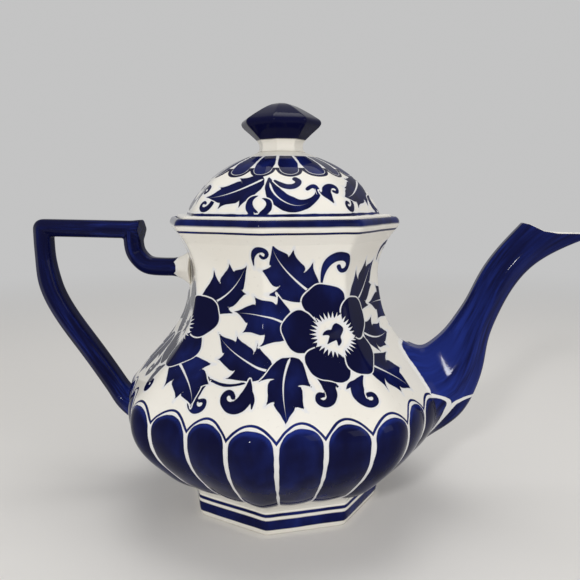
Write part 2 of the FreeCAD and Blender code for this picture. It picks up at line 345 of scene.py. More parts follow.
def glaze(name, colour_of):
    """Glossy clear-glazed porcelain whose colour comes from a function of its tree."""
    material = bpy.data.materials.new(name)
    material.use_nodes = True
    tree = material.node_tree
    shader = tree.nodes["Principled BSDF"].inputs
    plug(shader["Base Color"], colour_of(tree))
    plug(shader["Roughness"],
         node(tree, "ShaderNodeMapRange", noise(tree, SHEEN_SCALE), 0.3, 0.7, *GLAZE_ROUGHNESS))
    shader["IOR"].default_value = GLAZE_IOR
    shader["Specular IOR Level"].default_value = GLAZE_SPECULAR
    ripple = node(tree, "ShaderNodeBump", RIPPLE_STRENGTH, RIPPLE_HEIGHT)
    plug(ripple.socket.node.inputs["Height"], noise(tree, RIPPLE_SCALE, 1.0))
    plug(shader["Normal"], ripple)
    return material


def ivory(tree):
    """Warm white glaze with faint cloudiness and a few pin specks."""
    cloud = mix(ramp(noise(tree, CLOUD_SCALE, 3.0), 0.35, 0.75), IVORY, PALE_IVORY)
    specks = ramp(noise(tree, SPECK_SCALE, 0.0), 0.76, 0.80)
    return mix(specks * SPECK_SHARE, cloud, SPECK)


def cobalt(tree, tone):
    """Brushed cobalt: dark where it pools, lighter where the brush ran thin."""
    streaks = noise(tree, STREAK_SCALE, 3.0, STREAK_STRETCH) - 0.5
    pools = noise(tree, POOL_SCALE) - 0.5
    return mix(ramp(streaks * 0.6 + pools * 0.8 + tone, 0.0, 1.0), NAVY, COBALT)


# Half a leaf as shares of its length and half width: base, then tooth and notch in turn, then tip
LEAF_SIDE = [(0.0, 0.07), (0.48, 1.08), (0.42, 0.46), (0.79, 0.78), (0.72, 0.30), (1.0, 0.0)]
LEAF_LEAN, TOOTH_WAY, TOOTH_SHIFT = 0.86, (0.74, 0.67), -0.09
LEAF_VEIN, VEIN_END, EDGE_STEPS, STROKE_STEPS = 0.62, 0.84, 7, 7
PETAL_CENTRE, PETAL_LONG, PETAL_HALF, FLOWER_REACH = 15.0, 8.2, 9.9, 34.0
HEART_RADIUS, FRINGE_RAYS, FRINGE_LENGTH = 7.7, 32, 3.0
# Strokes: points on the way, and half widths along it
SEED_STROKES = [
    ([(2.4, 2.9), (1.1, 0.7), (-1.2, -1.6), (-3.6, -3.8)], [2.5, 2.3, 1.3, 0.3]),
    ([(0.0, 0.6), (-2.2, 1.2), (-4.8, 0.4)], [1.5, 1.1, 0.3]),
    ([(1.2, -0.4), (1.8, -2.6), (0.9, -5.0)], [1.4, 1.1, 0.3]),
]
CURL = [
    (0, 0), (5, 3.4), (10.5, 5), (15, 3.2), (16.4, -1), (13.6, -3.8), (10.8, -2.4), (11.4, -0.2)]
HOOK = CURL, [0.35, 0.9, 1.6, 2.2, 2.3, 1.7, 1.2, 1.1]
SCROLL = CURL, [0.5, 1.9, 3.3, 3.3, 2.6, 1.9, 1.4, 1.3]
BARB = [(5.0, 4.6), (6.4, 7.6), (9.6, 10.2)], [1.8, 1.2, 0.3]
STEM = [(5, -2.9), (11, -5.5), (23, -7), (37, -1)], [0.6, 0.7, 0.6]
STROKE_GAP, STROKE_TONE, HAND_SHAKE = 0.5, 0.15, 0.8
EDGE_ZONE, EDGE_RING, TONE_MARGIN = 1.4, 1.3, 0.4
BARE, FAR_OUT, FAR_IN, NO_ARCH, NO_HEART = -2000.0, -5.0, 9.0, 9.0, (1.0, 0.0, 60.0)
PETAL_LINE, LINE_TONE = 1.1, 0.45
SHORTEST = 1e-6


def painted(tree):
    """Brushwork stored on the piece: two layers of strokes, veins, fringed hearts and petal outlines."""
    shake = (noise(tree, SHAKE_SCALE, 1.0) - 0.5) * HAND_SHAKE
    over, under = read(tree, "over") + shake, read(tree, "under") + shake
    depth = calc("MAXIMUM", over, calc("MINIMUM", under, -STROKE_GAP - over))
    vein = read(tree, "vein_width") - calc("ABSOLUTE", read(tree, "vein"))
    x, y, reach = axes(read(tree, "heart", "Vector"))
    turns = calc("ARCTAN2", y, x) * (FRINGE_RAYS / (2.0 * math.pi))
    ray = calc("POWER", calc("PINGPONG", turns, 0.5) * 2.0, 1.7)
    fringe = ramp(ray * FRINGE_LENGTH + HEART_RADIUS - reach, -0.15, 0.15)
    fringe = fringe * ramp(reach, HEART_RADIUS - 2.0, HEART_RADIUS - 1.8)
    arch = shake * 0.6 + read(tree, "arch")
    below_line = ramp(arch, PETAL_LINE - BRUSH_EDGE, PETAL_LINE + BRUSH_EDGE)
    line = ramp(arch, -BRUSH_EDGE, BRUSH_EDGE) * (1.0 - below_line)
    blue = ramp(depth, -BRUSH_EDGE, 0.14) * (1.0 - ramp(vein, -BRUSH_EDGE, BRUSH_EDGE)) * (1.0 - fringe)
    ground = mix(ramp(depth, -1.8, 0.2) * BLEED_SHARE, ivory(tree), BLEED)
    return mix(calc("MAXIMUM", blue, line), ground, cobalt(tree, read(tree, "tone")))


class Brushwork:
    """Cobalt painting on a turned piece whose rows of radius and height are given. Each point holds its
    depth inside the stroke on top and inside what lies under it, which stays apart by a white gap,
    with the tone and the white vein of what shows. A place is an angle and a height, and sizes follow
    the surface."""

    def __init__(self, piece, rows):
        self.points = points_of(piece)
        self.height = self.points[:, 2]
        self.angle, self.radius = round_axis(self.points)
        self.rows = rows
        self.run_up = run_along(rows)
        self.climb = self.way_up(self.height)
        count = len(self.points)
        self.every = np.arange(count)
        self.over = np.full(count, BARE)
        self.under = np.full(count, FAR_OUT)
        self.tone = np.zeros(count)
        self.vein = np.full(count, -FAR_OUT)
        self.vein_width = np.full(count, -1.0)
        self.heart = np.tile(NO_HEART, (count, 1))

    def way_up(self, z):
        """Way up the outer wall to a height, along the surface."""
        return np.interp(z, self.rows[:, 1], self.run_up)

    def spot(self, angle, z, turn, reach):
        """Points near a place, along and across a direction turned up from the right, in millimetres."""
        x = np.radians((self.angle - angle + 180.0) % 360.0 - 180.0) * self.radius
        y = self.climb - self.way_up(z)
        near = np.nonzero(np.hypot(x, y) < reach)[0]
        c, s = math.cos(math.radians(turn)), math.sin(math.radians(turn))
        return near, x[near] * c + y[near] * s, y[near] * c - x[near] * s

    def shown(self, near):
        """Depth inside the painting as it shows."""
        return np.maximum(self.over[near], np.minimum(self.under[near], -STROKE_GAP - self.over[near]))

    def lay(self, near, depth, tone, vein=None, vein_width=None, joined=False):
        """Lays a shape over what is there, or joins it to the shape on top."""
        kept = np.where(depth > -EDGE_ZONE, depth, BARE)
        top = depth > -TONE_MARGIN
        if joined:
            top &= depth > self.over[near]
            self.over[near] = np.maximum(self.over[near], kept)
        else:
            wide, close = depth > -EDGE_ZONE - 2.0 * EDGE_RING, depth > -EDGE_ZONE - EDGE_RING
            self.under[near[wide]] = self.shown(near[wide])
            self.over[near[close]] = kept[close]
        self.tone[near[top]] = np.broadcast_to(tone, depth.shape)[top]
        self.vein[near[top]] = -FAR_OUT if vein is None else vein[top]
        self.vein_width[near[top]] = -1.0 if vein is None else vein_width[top]

    def clear(self, near, depth):
        """Wipes away what is there where the depth is negative."""
        wide, close = depth < EDGE_ZONE + 2.0 * EDGE_RING, depth < EDGE_ZONE + EDGE_RING
        self.under[near[wide]] = self.shown(near[wide])
        self.under[near[close]] = np.minimum(self.under[near[close]], depth[close])
        self.over[near[close]] = BARE

    def leaf(self, angle, z, turn, length, width, bow=0.0, tone=0.3):
        """Toothed leaf from its base at a place, with a tapered white vein; bow bends it to its left."""
        near, along, across = self.spot(angle, z, turn, 1.4 * length)
        share = along / length
        across = across - 4.0 * bow * share * (1.0 - share)
        depth = inside(toothed(length, width), along, across)
        taper = (1.0 - share / VEIN_END) * rise(share, 0.0, 0.06)
        vein_width = LEAF_VEIN * taper - 0.15 * (share < 0.02)
        shade = 0.6 * tone + 0.02 * np.clip(depth, 0.0, 4.0)
        self.lay(near, depth, shade, across + 0.04 * width * np.sin(5.0 * share), vein_width)

    def stroke(self, angle, z, turn, shape, size=1.0, flip=1.0, vein=0.0, joined=False):
        """Brush stroke of changing width through points about a place, with a white vein or none."""
        points, widths = shape
        path = through(np.array(points) * size, steps(STROKE_STEPS * len(points)))
        places = np.linspace(0.0, len(widths) - 1.0, len(path))
        half = np.interp(places, np.arange(len(widths)), widths) * size
        near, along, across = self.spot(angle, z, turn, np.abs(path).max() * 1.5 + 6.0)
        across = across * flip
        depth, side, share = np.full(len(near), -9.0), np.zeros(len(near)), np.zeros(len(near))
        for n, (a, b, wa, wb) in enumerate(zip(path[:-1], path[1:], half[:-1], half[1:])):
            t, off, left = beside_line(along, across, a, b)
            here = wa + t * (wb - wa) - off
            deeper = here > depth
            depth[deeper], side[deeper] = here[deeper], left[deeper]
            share[deeper] = (n + t[deeper]) / (len(path) - 1)
        vein_width = vein * rise(share, 0.04, 0.14) * (1.0 - share / 0.72) - (0.15 if vein else 1.0)
        self.lay(near, depth, STROKE_TONE + 0.04 * depth, side, vein_width, joined)

    def scroll(self, angle, z, turn, size=1.0, flip=1.0):
        """Thick curl with a barb on its back."""
        self.stroke(angle, z, turn, SCROLL, size, flip)
        self.stroke(angle, z, turn, BARB, size, flip, joined=True)

    def flower(self, angle, z, first=100.0, petals=5):
        """Five broad petals round a white fringed heart with a dark seed head in it."""
        near, x, y = self.spot(angle, z, 0.0, FLOWER_REACH)
        reach = np.hypot(x, y)
        for n in range(petals):
            a = math.radians(first + 360.0 * n / petals)
            out = x * math.cos(a) + y * math.sin(a) - PETAL_CENTRE
            side = y * math.cos(a) - x * math.sin(a)
            round_ = np.arctan2(side, out)
            wave = 1.0 + 0.035 * np.cos(5.0 * round_ + n) + 0.03 * np.sin(3.0 * round_ + 2.0 * n)
            depth = (wave - np.hypot(out / PETAL_LONG, side / PETAL_HALF)) * PETAL_LONG
            depth = np.minimum(depth, reach - HEART_RADIUS + 0.6)
            self.lay(near, depth, 0.05 + 0.10 * rise(out, -2.0, PETAL_LONG))
        self.clear(near, reach - HEART_RADIUS)
        for n, shape in enumerate(SEED_STROKES):
            self.stroke(angle, z, 0.0, shape, joined=n > 0)
        nearest = reach < self.heart[near, 2]
        way = np.maximum(reach, SHORTEST)
        self.heart[near[nearest]] = np.stack([x / way, y / way, reach], -1)[nearest]

    def store(self, piece, outer, arch):
        """Stores the painting and the petal outlines on the piece, and bares its inside."""
        self.over[~outer], self.under[~outer], self.heart[~outer] = BARE, FAR_OUT, NO_HEART
        for name in ("over", "under", "tone", "vein", "vein_width", "heart"):
            give(piece, name, getattr(self, name))
        give(piece, "arch", np.where(outer, arch, NO_ARCH))


def toothed(length, width):
    """Closed outline of a leaf with two pointed teeth on each side: along and across."""
    outline = []
    for sign, shift in ((1.0, 0.0), (-1.0, TOOTH_SHIFT)):
        out = np.array([0.0, sign])
        way = np.array([TOOTH_WAY[0], TOOTH_WAY[1] * sign])
        spread = sign * (width if sign > 0.0 else LEAF_LEAN * width)
        side = [np.array([length * (t + shift * math.sin(math.pi * t)), spread * w])
                for t, w in LEAF_SIDE]
        bent = []
        for n, (a, b) in enumerate(zip(side[:-1], side[1:])):
            span = np.linalg.norm(b - a)
            if n % 2 == 0:
                tip_way = np.array([1.0, 0.0]) if n == len(side) - 2 else way
                first, second = a + 0.4 * span * out, b - 0.42 * span * tip_way
            else:
                first, second = a - 0.45 * span * way, b + 0.1 * span * out
            for t in steps(EDGE_STEPS)[:-1]:
                u = 1.0 - t
                bent.append(u ** 3 * a + 3 * u * u * t * first + 3 * u * t * t * second + t ** 3 * b)
        bent.append(side[-1])
        outline += bent if sign > 0.0 else bent[-2:0:-1]
    return np.array(outline)


def beside_line(x, y, a, b):
    """Share of the way from a to b nearest to each point, how far off that is, and how far left."""
    dx, dy = b - a
    x, y = x - a[0], y - a[1]
    length = max(math.hypot(dx, dy), SHORTEST)
    t = np.clip((x * dx + y * dy) / length ** 2, 0.0, 1.0)
    return t, np.hypot(x - t * dx, y - t * dy), (y * dx - x * dy) / length


def inside(outline, x, y):
    """Distance to a closed outline, positive inside it."""
    best = np.full(len(x), np.inf)
    within = np.zeros(len(x), bool)
    for a, b in zip(outline, np.roll(outline, -1, axis=0)):
        best = np.minimum(best, beside_line(x, y, a, b)[1])
        spans = (a[1] > y) != (b[1] > y)
        dx, dy = b - a
        within ^= spans & (x < dx * (y - a[1]) / (dy or SHORTEST) + a[0])
    return np.where(within, best, -best)


belly_shares = np.linspace(0.0, BELLY_SHARE, BELLY_ROWS, endpoint=False)
outer_rows = through(POT_PROFILE, np.r_[belly_shares, np.linspace(BELLY_SHARE, 1.0, NECK_ROWS)])
inner_rows = through(POT_INSIDE, steps(INSIDE_ROWS))
pot_rows = [(0.0, FOOT_TOP), (BASE_MIDDLE, FOOT_TOP), *outer_rows, *inner_rows, *POT_FLOOR]
pot = skin("pot_body_glazed", turned(pot_rows, COLUMNS, pot_softness(np.array(pot_rows)[:, 1])))
outer_wall = slice(1 + COLUMNS, 1 + COLUMNS + len(outer_rows) * COLUMNS)
outer_flag = np.zeros(len(pot.data.vertices))
outer_flag[outer_wall] = 1.0
give(pot, "outer", outer_flag)
pot_glaze = glaze("painted_pot_glaze", painted)
apply_tree(pot, gadroon_tree(), {
    "Lobes": float(LOBES), "Relief": 1.3 * MM, "Bottom": 14.0 * MM, "Valley Top": 57.5 * MM,
    "Arch": 6.5 * MM, "Shoulder": 5.0 * MM, "Toe": 2.5 * MM, "Material": pot_glaze})
wall_grid = np.hypot(*points_of(pot)[outer_wall, :2].T).reshape(-1, COLUMNS)


def wall_radius(angle, z):
    """Radius of the pot's outer wall, gadroons and all, at an angle and a height."""
    row = np.interp(z, outer_rows[:, 1], np.arange(len(outer_rows)))
    column = np.mod(angle, 360.0) * COLUMNS / 360.0
    low, left = np.minimum(row.astype(int), len(outer_rows) - 2), column.astype(int) % COLUMNS
    up, on = row - low, column - column.astype(int)
    right = (left + 1) % COLUMNS
    below = wall_grid[low, left] * (1.0 - on) + wall_grid[low, right] * on
    above = wall_grid[low + 1, left] * (1.0 - on) + wall_grid[low + 1, right] * on
    return below * (1.0 - up) + above * up


# Strainer: seven holes in the wall behind the spout, which keep the leaves in the pot
STRAINER_PITCH, STRAINER_RADIUS, STRAINER_HEIGHT, HOLES_ROUND = 8.5, 2.5, 62.0, 6
DRILL_MIDDLE, DRILL_LENGTH, DRILL_SIDES = 75.0, 26.0, 24


def strainer_tree():
    """Upright drills, one in the middle and the others round it."""
    tree, given = node_tree("strainer_drills", ["Pitch", "Radius", "Length"])
    places = node(tree, "GeometryNodeMeshCircle", HOLES_ROUND, given["Pitch"], fill_type="TRIANGLE_FAN")
    drill = node(tree, "GeometryNodeMeshCylinder", DRILL_SIDES, None, None,
                 given["Radius"], given["Length"])
    finish_tree(tree, given, node(tree, "GeometryNodeInstanceOnPoints", places, None, drill))
    return tree


def cut(piece, tool):
    """Cuts the solid of a tool out of a piece."""
    pierce = piece.modifiers.new("cut", "BOOLEAN")
    pierce.operation = "DIFFERENCE"
    pierce.object = tool
    settle(piece)
    bpy.data.objects.remove(tool)
    smooth_shade(piece.data)


drills = place_in_scene("drills", bpy.data.meshes.new("drills"))
apply_tree(drills, strainer_tree(), {
    "Pitch": STRAINER_PITCH * MM, "Radius": STRAINER_RADIUS * MM, "Length": DRILL_LENGTH * MM,
    "Material": pot_glaze})
along_x = Matrix(((0.0, 0.0, 1.0), (1.0, 0.0, 0.0), (0.0, 1.0, 0.0))).to_4x4()
drills.data.transform(Matrix.Translation((DRILL_MIDDLE * MM, 0.0, STRAINER_HEIGHT * MM)) @ along_x)
cut(pot, drills)

# Scroll of flowers: the same group of leaves, hooks and curls round each flower, thinner by the spout
FLOWER_HEIGHT = 94.0
BEFORE_SPOUT, PAST_SPOUT, AT_BACK, BY_HANDLE = 306.0, 36.0, 126.0, 216.0
brush = Brushwork(pot, outer_rows)
for centre in (BEFORE_SPOUT, PAST_SPOUT, AT_BACK, BY_HANDLE):
    if centre != PAST_SPOUT:
        brush.stroke(centre - 68, 81, 0, STEM)
        brush.leaf(centre - 32, 82, 150, 30, 11.5, 2.5, 0.22)
        brush.leaf(centre - 23, 86.5, 264, 31, 12, -2, 0.26)
        brush.scroll(centre - 57, 76, 268, 0.82, -1)
        brush.scroll(centre - 39, 79, 236, 0.95)
    if centre == BEFORE_SPOUT:
        brush.leaf(centre + 20, 93, 350, 26, 9.5, -2.5, 0.26)
    top_turn, top_length = (98, 24) if centre == BY_HANDLE else (130, 33)
    brush.leaf(centre - 8, 111.5, top_turn, top_length, 0.39 * top_length, 3, 0.30)
    brush.leaf(centre - 21, 97.5, 166, 28, 12.5, -2.5, 0.24)
    brush.leaf(centre + 15, 105, 40, 32, 11.5, -2.5, 0.28)
    brush.leaf(centre + 12, 81.5, 318, 31, 11.5, 2, 0.26)
    if centre != BY_HANDLE:
        brush.stroke(centre - 4, 115.5, 50, HOOK)
        brush.stroke(centre - 41, 124, 60, HOOK, 0.62)
    brush.scroll(centre - 13, 79, 280, 0.78)
    brush.scroll(centre + 6, 78, 258, 0.82, -1)
    brush.flower(centre, FLOWER_HEIGHT)

# The painting stops short of ovals round the foot of the spout and the boss of the handle: their
# side, half width, half height and middle
BARE_OVALS = [(1.0, 21.0, 29.0, 58.0), (-1.0, 12.5, 12.5, 119.0)]
for side, half, tall, middle in BARE_OVALS:
    away = np.hypot(brush.points[:, 1] / half, (brush.height - middle) / tall) - 1.0
    brush.clear(brush.every, np.where(brush.points[:, 0] * side > 0.0, away * half, FAR_IN))

# Gadroon petals: a thin outline over each arch, a white border, and a cobalt fill
PETAL_FOOT, PETAL_FORK, PETAL_TOP = 19.0, 58.4, 64.4
FILL_DROP, FILL_CROWN, FILL_TOE, FILL_TONE, LIGHT_TONE = 2.5, 8.2, 4.6, 0.18, 0.45
# White border beside each fill: its width low down, what it gains higher up, and where it gains it
BORDER, BORDER_GAIN, BORDER_RISE = 0.55, 0.45, (-30.0, -8.0)
SPOUT_FORK, SPOUT_SPREAD = 51.5, 22.5
HALF_WALL = 1.6


def fork_height(angle):
    """Height where neighbouring petals part, lower under the spout."""
    aside = np.abs((angle + 180.0) % 360.0 - 180.0)
    return SPOUT_FORK + (PETAL_FORK - SPOUT_FORK) * np.minimum(aside / SPOUT_SPREAD, 1.0)


def petal_share(angle, count=LOBES):
    """How far across its half of a petal an angle lies, from 0 in the middle to 1 at the edge."""
    return np.abs(((angle * count / 360.0 + 0.5) % 1.0) * 2.0 - 1.0)


def petal_arch(angle, radius, over, height, inset=0.0, count=LOBES):
    """Distance inside the nearest of a ring of petals, each an arch that springs where over is 0."""
    pitch = radius * math.pi / count
    half = np.maximum(pitch - inset, 1e-3)
    beside = petal_share(angle, count) * pitch
    lift = np.maximum(over, 0.0)
    reach = np.maximum(np.hypot(beside / half, lift / height), 1e-3)
    arch = np.maximum(np.hypot(beside, lift), 1e-3) * (1.0 / reach - 1.0)
    return np.where(over > 0.0, arch, half - beside)


def gadroon_line(angle, radius, over, height):
    """Distance under the shallow arches that run from fork to fork over the petals."""
    share = petal_share(angle)
    slope = 2.0 * height * share * LOBES / (radius * math.pi)
    return (height * (1.0 - share ** 2) - over) / np.hypot(1.0, slope)


crown = brush.way_up(PETAL_TOP) - brush.way_up(PETAL_FORK)
over_fork = brush.climb - brush.way_up(fork_height(brush.angle))
side_border = BORDER + BORDER_GAIN * rise(over_fork, *BORDER_RISE)
over_fill = over_fork - (crown - FILL_DROP - FILL_CROWN)
below_foot = brush.way_up(PETAL_FOOT) - brush.climb
petal_depth = np.minimum(petal_arch(brush.angle, brush.radius, over_fill, FILL_CROWN, side_border),
                         petal_arch(brush.angle, brush.radius, below_foot, FILL_TOE, side_border))
outside = brush.radius > wall_radius(brush.angle, brush.height) - HALF_WALL
petal_depth[~outside] = FAR_OUT
light_edge = rise(petal_depth, -0.2, 0.7) * rise(-petal_depth, -2.2, -0.7) * rise(over_fill, -2.0, 5.0)
brush.lay(brush.every, petal_depth, FILL_TONE + LIGHT_TONE * light_edge)
arch_line = gadroon_line(brush.angle, brush.radius, over_fork, crown)
brush.tone[outside & (np.abs(arch_line - PETAL_LINE / 2.0) < PETAL_LINE)] = LINE_TONE
brush.store(pot, outside, arch_line)
seat(pot)
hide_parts("pot_body")
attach(pot, "pot")

# Foot ring
# An octagonal porcelain ring stuck under the pot's base, flat underneath where the pot stands.
# It is glazed white and banded in cobalt.
FOOT_OUTLINE = [
    (43, FOOT_TOP), (43.2, 1), (43.5, 0.25), (44.2, 0), (48, 0), (48.7, 0.3), (49.3, 1.2), (49.9, 4),
    (50.3, 9), (50, FOOT_TOP),
]
# Bands: bottom, top and softness of the edges
FOOT_BANDS = [(2.9, 8.0, 0.3), (9.5, 11.1, 0.25)]
BAND_TONE, BAND_WAVER, WAVER_SCALE = 0.3, 0.9, 45.0
RING_COLUMNS = 192


def banded(bands, tone=BAND_TONE):
    """Ivory glaze with level cobalt bands, each from one height to another with its own soft edge."""
    def colour(tree):
        place = node(tree, "ShaderNodeTexCoord", output="Object")
        height = axes(place)[2] * (1.0 / MM) + (noise(tree, WAVER_SCALE) - 0.5) * BAND_WAVER
        shares = [ramp(height, low - soft, low + soft) * (1.0 - ramp(height, high - soft, high + soft))
                  for low, high, soft in bands]
        blue = shares[0]
        for share in shares[1:]:
            blue = calc("MAXIMUM", blue, share)
        return mix(blue, ivory(tree), cobalt(tree, tone))
    return colour


def crisp_rings(outline):
    """Octagonal rings with crisp corners, rubbed down to the given corner radius."""
    return turned([(radius * 2.0 ** -CRISP, z) for radius, z in outline], RING_COLUMNS, CRISP)


def closed_ring(name, outline):
    """Octagonal ring from a closed outline of corner radius and height."""
    rings = crisp_rings(outline)
    return skin(name, rings + rings[:1])


foot = closed_ring("foot_ring_glazed", FOOT_OUTLINE)
foot.data.materials.append(glaze("banded_foot_glaze", banded(FOOT_BANDS)))
seat(foot)
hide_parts("foot_ring")
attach(foot, "pot")

# Mouth rim
# A moulded octagonal rim of porcelain stuck on the neck, with two cobalt lines.
# Its rolled edge goes round the lid, which sits on a ledge inside.
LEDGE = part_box("lid_flange")[0][2] / MM
RIM_OUTLINE = [
    (45, LEDGE), (45, RIM_BOTTOM), (53.6, RIM_BOTTOM), (54.9, 135.8), (56.3, 137.6), (57.7, 139.3),
    (58.5, 140.4), (58.9, 141.9), (58.7, 143.2), (58, 144.3), (57.1, 144.9), (56.4, 144.95),
    (55.9, 144.6), (55.6, 143.8), (55.6, LEDGE),
]
RIM_BANDS = [(138.6, 139.6, 0.15), (141.8, 146.0, 0.6)]
rim = closed_ring("mouth_rim_glazed", RIM_OUTLINE)
rim.data.materials.append(glaze("banded_rim_glaze", banded(RIM_BANDS)))
seat(rim)
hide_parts("mouth_rim")
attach(rim, "pot")

# Spout
# A hollow six-sided porcelain spout pressed in two halves and stuck over the strainer holes, with its
# foot smeared out onto the belly. It is brushed with cobalt along its length and left white inside.
SPOUT_WALL = (3.6, 2.4)
# Stations from root to tip: x and z of the upper line, x and z of the lower line, half width
SPOUT_STATIONS = [
    (46, 80, 58, 22, 15), (60.5, 83, 80, 38, 18), (69.5, 80, 91.6, 48.4, 15.4),
    (75.5, 82.8, 97.8, 61, 13.2), (81.6, 88.8, 100.9, 73, 11.6), (86.8, 96.3, 102.6, 85, 10.4),
    (91.6, 104.5, 106.2, 96.4, 9.6), (98.2, 118.6, 112.8, 110.4, 9), (106.6, 131.1, 120.3, 120.3, 8.6),
    (114, 139.8, 127.8, 126.2, 8.2), (120, 146.4, 136.6, 131, 7.8), (127.6, 153.6, 148.8, 136.2, 7.2),
]
# Corners of a section: share of the way from the upper to the lower line, and of the half width
SPOUT_CORNERS = [(0, 0.42), (0, -0.42), (0.60, -1), (1, -0.34), (1, 0.34), (0.60, 1)]
SPOUT_SOFT = 0.24
MOUTH_LINE = [(108, 146), (115.6, 141.9), (118.6, 141.2), (124.6, 138.1), (131, 137), (160, 136.4)]
STATION_STEPS, SPOUT_ROWS, BORE_ROWS, LIP_ROWS, FOOT_ROWS = 700, 140, 44, 4, 26
BORE_SUNK, LIP_BULGE = 2.0, 0.45
# How far the smeared foot reaches along the spout and out over the pot, at its bottom and at its top
FOOT_ALONG, FOOT_OUT, FOOT_SUNK = (15.0, 6.0), (7.0, 4.0), 0.3
FOOT_FROM, FOOT_TO, FOOT_EASE = 45.0, 72.0, 160
BLUE_FROM, SPOUT_PETAL, PETAL_TONE = 0.9, 6.0, 0.15
SPOUT_BORDER, SPOUT_BORDER_GAIN, SPOUT_BORDER_RISE = 0.9, 1.1, (-12.0, 1.0)
FLOW_ROUND, WHITE_INSIDE = 9.0, -3.0
# Tone of the cobalt at ways along the spout
SPOUT_TONES = [0.0, 30.0, 75.0, 150.0], [0.74, 0.58, 0.24, 0.34]


def leaning(start, bend, end, t):
    """Point a share of the way along a curve from start to end that leans towards a bend."""
    u = 1.0 - t
    return u * u * start + 2.0 * t * u * bend + t * t * end


def unit(rows):
    """Rows of vectors, each made 1 long."""
    return rows / np.linalg.norm(rows, axis=1, keepdims=True)


def soft_six(corners, softness, round_points=9, side_points=8):
    """Six-cornered sections with each corner rounded by a share of its sides."""
    before, after = np.roll(corners, 1, axis=1), np.roll(corners, -1, axis=1)
    enter = corners + softness * (before - corners)
    leave = corners + softness * (after - corners)
    following = np.roll(enter, -1, axis=1)
    columns = []
    for n in range(6):
        for t in steps(round_points):
            columns.append(leaning(enter[:, n], corners[:, n], leave[:, n], t))
        for t in steps(side_points)[1:-1]:
            columns.append(leave[:, n] + t * (following[:, n] - leave[:, n]))
    return np.stack(columns, 1)


def outside_pot(points):
    """Distance outwards from the plain outer wall of the pot, level with each point."""
    angle, radius = round_axis(points)
    z = points[..., 2]
    return radius - np.interp(z, outer_rows[:, 1], outer_rows[:, 0]) * octagon(angle, pot_softness(z))


def spout_sections(shares, walls):
    """Section columns along the spout, thinned all round by a wall."""
    ux, uz, lx, lz, half = through(SPOUT_STATIONS, shares).T
    length = np.hypot(lx - ux, lz - uz)
    dx, dz = (lx - ux) / length, (lz - uz) / length
    deep, wide = length - 2.0 * walls, half - walls
    corners = []
    for share, y in SPOUT_CORNERS:
        down = walls + deep * share
        corners.append(np.stack([ux + dx * down, wide * y, uz + dz * down], -1))
    return soft_six(np.stack(corners, 1), SPOUT_SOFT, round_points=13, side_points=20)


def on_wall(points, sunk):
    """Points moved level to the pot's outer wall, or a little into it."""
    angle, far = round_axis(points)
    moved = points.copy()
    moved[:, :2] *= ((wall_radius(angle, points[:, 2]) - sunk) / far)[:, None]
    return moved


def at_places(columns, places):
    """Points at places along columns, counted in their steps."""
    low = np.minimum(places.astype(int), len(columns) - 2)
    part = (places - low)[..., None]
    j = np.arange(columns.shape[1])
    return columns[low, j] * (1.0 - part) + columns[low + 1, j] * part


def leaving(columns, depth):
    """Where each column comes out past a depth in the pot's wall for the last time."""
    beyond = outside_pot(columns) + depth
    low = len(columns) - 1 - np.argmax(beyond[::-1] < 0.0, axis=0)
    j = np.arange(columns.shape[1])
    return low + beyond[low, j] / (beyond[low, j] - beyond[low + 1, j])


def reaching_lip(columns):
    """Where each column meets the cut of the pouring lip."""
    mouth_x, mouth_z = np.array(MOUTH_LINE).T
    over = columns[..., 2] - np.interp(columns[..., 0], mouth_x, mouth_z, left=1e3)
    high = np.argmax(over > 0.0, axis=0)
    j = np.arange(columns.shape[1])
    cut_at = high - over[high, j] / (over[high, j] - over[high - 1, j])
    return np.where((over > 0.0).any(axis=0), cut_at, len(columns) - 1.0)


def even_rows(columns, start, end, rows):
    """Rows spread evenly along columns, from one place on each to another."""
    return at_places(columns, start + (end - start) * steps(rows)[:, None])


def rounded(loop):
    """Closed row of points with its corners eased."""
    for _ in range(FOOT_EASE):
        loop = 0.5 * loop + 0.25 * (np.roll(loop, 1, axis=0) + np.roll(loop, -1, axis=0))
    return loop


dense = steps(STATION_STEPS)
bore_columns = spout_sections(dense, SPOUT_WALL[0] + (SPOUT_WALL[1] - SPOUT_WALL[0]) * dense)
bore_from, bore_to = leaving(bore_columns, BORE_SUNK), reaching_lip(bore_columns)
spout_bore = even_rows(bore_columns, bore_from, bore_to, BORE_ROWS)
spout_columns = spout_sections(dense, 0.0 * dense)
columns = spout_columns.shape[1]
root_place = leaving(spout_columns, 0.0)
root = at_places(spout_columns, root_place)
low_to_high = rise(root[:, 2], FOOT_FROM, FOOT_TO)
foot_along, foot_out = (low + (high - low) * low_to_high for low, high in (FOOT_ALONG, FOOT_OUT))
spout_run = run_along(spout_columns)
counts = np.arange(len(dense))
stem_place = np.array([
    np.interp(np.interp(root_place[j], counts, spout_run[:, j]) + foot_along[j], spout_run[:, j], counts)
    for j in range(columns)])
lean = np.interp(root[:, 2], outer_rows[:, 1], np.gradient(outer_rows[:, 0], outer_rows[:, 1]))
wall_way = unit(np.stack([root[:, 0], root[:, 1], -lean * round_axis(root)[1]], -1))
from_middle = root - root.mean(0)
outwards = unit(from_middle - (from_middle * wall_way).sum(1, keepdims=True) * wall_way)
foot_edge = on_wall(rounded(root + outwards * foot_out[:, None]), FOOT_SUNK)
foot_bend = on_wall(rounded(root), 0.0)
stem = at_places(spout_columns, stem_place)
foot_rows = leaning(foot_edge, foot_bend, stem, steps(FOOT_ROWS)[:, None, None])
stem_rows = even_rows(spout_columns, stem_place, reaching_lip(spout_columns), SPOUT_ROWS)
spout_outer = np.concatenate([on_wall(root, BORE_SUNK)[None], foot_rows, stem_rows[1:]])
lip = []
